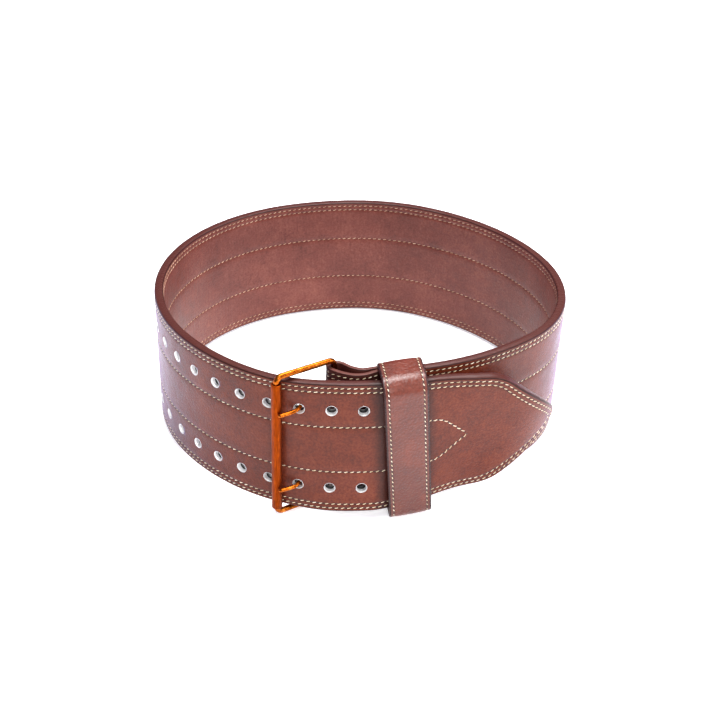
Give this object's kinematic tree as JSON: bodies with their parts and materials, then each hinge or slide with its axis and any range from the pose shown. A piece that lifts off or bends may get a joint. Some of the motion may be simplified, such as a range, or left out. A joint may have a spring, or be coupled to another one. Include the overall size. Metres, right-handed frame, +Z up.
{
  "type": "weightlifting belt",
  "caption": "Wide leather lifting belt buckled into a standing ring, with rows of paired eyelets, a pronged roller buckle, a leather keeper loop and a pointed free end.",
  "frame": {"origin": "centre of the bounding box's bottom, on the floor the belt stands on", "axes": "+Z up, -Y towards the buckle at the front, +X towards the keeper and the pointed tip"},
  "size_m": [0.2962, 0.2828, 0.1136],
  "materials": {
    "strap_leather": "smooth brown top-grain leather, semi-gloss, cream lockstitch",
    "chape_leather": "dark red-brown leather, semi-gloss, cream lockstitch",
    "keeper_leather": "pebble-grained brown leather, glossier than the strap",
    "buckle_wire": "polished orange-gold metal",
    "roller_metal": "burnt-orange metal with fine streaks along its length",
    "eyelet_nickel": "bright nickel"
  },
  "bodies": {
    "belt": {"strap": "strap_leather", "chape": "chape_leather", "keeper": "keeper_leather", "buckle_frame": "buckle_wire", "prong_upper": "buckle_wire", "prong_lower": "buckle_wire", "eyelet_upper_01": "eyelet_nickel", "eyelet_upper_02": "eyelet_nickel", "eyelet_upper_03": "eyelet_nickel", "eyelet_upper_04": "eyelet_nickel", "eyelet_upper_05": "eyelet_nickel", "eyelet_upper_06": "eyelet_nickel", "eyelet_upper_07": "eyelet_nickel", "eyelet_upper_08": "eyelet_nickel", "eyelet_upper_09": "eyelet_nickel", "eyelet_upper_10": "eyelet_nickel", "eyelet_lower_01": "eyelet_nickel", "eyelet_lower_02": "eyelet_nickel", "eyelet_lower_03": "eyelet_nickel", "eyelet_lower_04": "eyelet_nickel", "eyelet_lower_05": "eyelet_nickel", "eyelet_lower_06": "eyelet_nickel", "eyelet_lower_07": "eyelet_nickel", "eyelet_lower_08": "eyelet_nickel", "eyelet_lower_09": "eyelet_nickel", "eyelet_lower_10": "eyelet_nickel"},
    "roller": {"buckle_roller": "roller_metal"}
  },
  "joints": [
    {"name": "roller_turn", "type": "hinge", "parent": "belt", "child": "roller", "pos_m": [-0.0509, -0.13437, 0.05731], "axis": [0, 0.023, 0.9997], "continuous": true}
  ]
}
